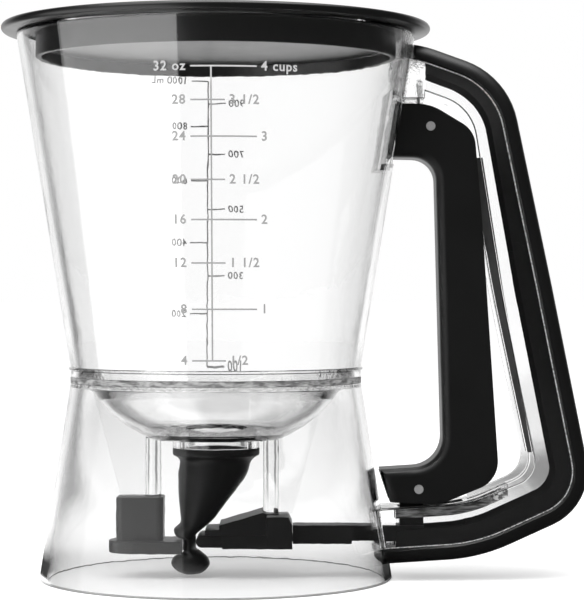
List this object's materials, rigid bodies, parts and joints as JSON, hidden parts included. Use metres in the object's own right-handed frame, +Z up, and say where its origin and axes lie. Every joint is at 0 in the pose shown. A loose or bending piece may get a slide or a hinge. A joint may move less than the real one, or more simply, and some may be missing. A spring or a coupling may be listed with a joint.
{
  "type": "pancake batter dispenser",
  "caption": "Clear jug with a bowl-shaped floor on a flared skirt, a lift-off lid, and a trigger in the handle that opens a pinched silicone nozzle.",
  "frame": {"origin": "centre of the ring that the skirt stands on", "axes": "+Z up along the jug's axis, +X towards the handle, +Y across it"},
  "size_m": [0.1943, 0.1424, 0.1835],
  "materials": {
    "clear_plastic": "clear, polished",
    "lid_plastic": "satin",
    "core_plastic": "satin",
    "grip_rubber": "soft matte",
    "steel": "plain ends",
    "valve_plastic": "satin",
    "silicone": "smooth"
  },
  "bodies": {
    "jug_body": {"cup_wall": "clear_plastic", "bowl": "clear_plastic", "base_skirt": "clear_plastic", "handle_frame": "clear_plastic", "grip_core": "core_plastic", "handle_grip": "grip_rubber", "return_spring": "steel", "fixed_jaw": "valve_plastic", "guide_block": "valve_plastic", "jaw_latch": "valve_plastic", "nozzle": "silicone"},
    "lid_body": {"lid": "lid_plastic"},
    "trigger_body": {"trigger": "core_plastic", "trigger_cover": "grip_rubber", "pivot_pin": "steel", "link_pin": "steel"},
    "drawbar_body": {"drawbar": "valve_plastic", "slide_jaw": "valve_plastic"}
  },
  "joints": [
    {"name": "lid_lift", "type": "slide", "parent": "jug_body", "child": "lid_body", "axis": [0, 0, 1], "range_m": [0, 0.04]},
    {"name": "trigger_squeeze", "type": "hinge", "parent": "jug_body", "child": "trigger_body", "pos_m": [0.07101, 0, 0.1497], "axis": [0, -1, 0], "range_deg": [0, 5], "stiffness_Nm_per_rad": 3, "springref_deg": -5.73, "deforming": ["return_spring"]},
    {"name": "drawbar_slide", "type": "slide", "parent": "jug_body", "child": "drawbar_body", "axis": [1, 0, 0], "range_m": [0, 0.01045], "deforming": ["nozzle"]}
  ],
  "couplings": [
    {"joint": "drawbar_slide", "follows": "trigger_squeeze", "m_per_rad": 0.11972}
  ]
}
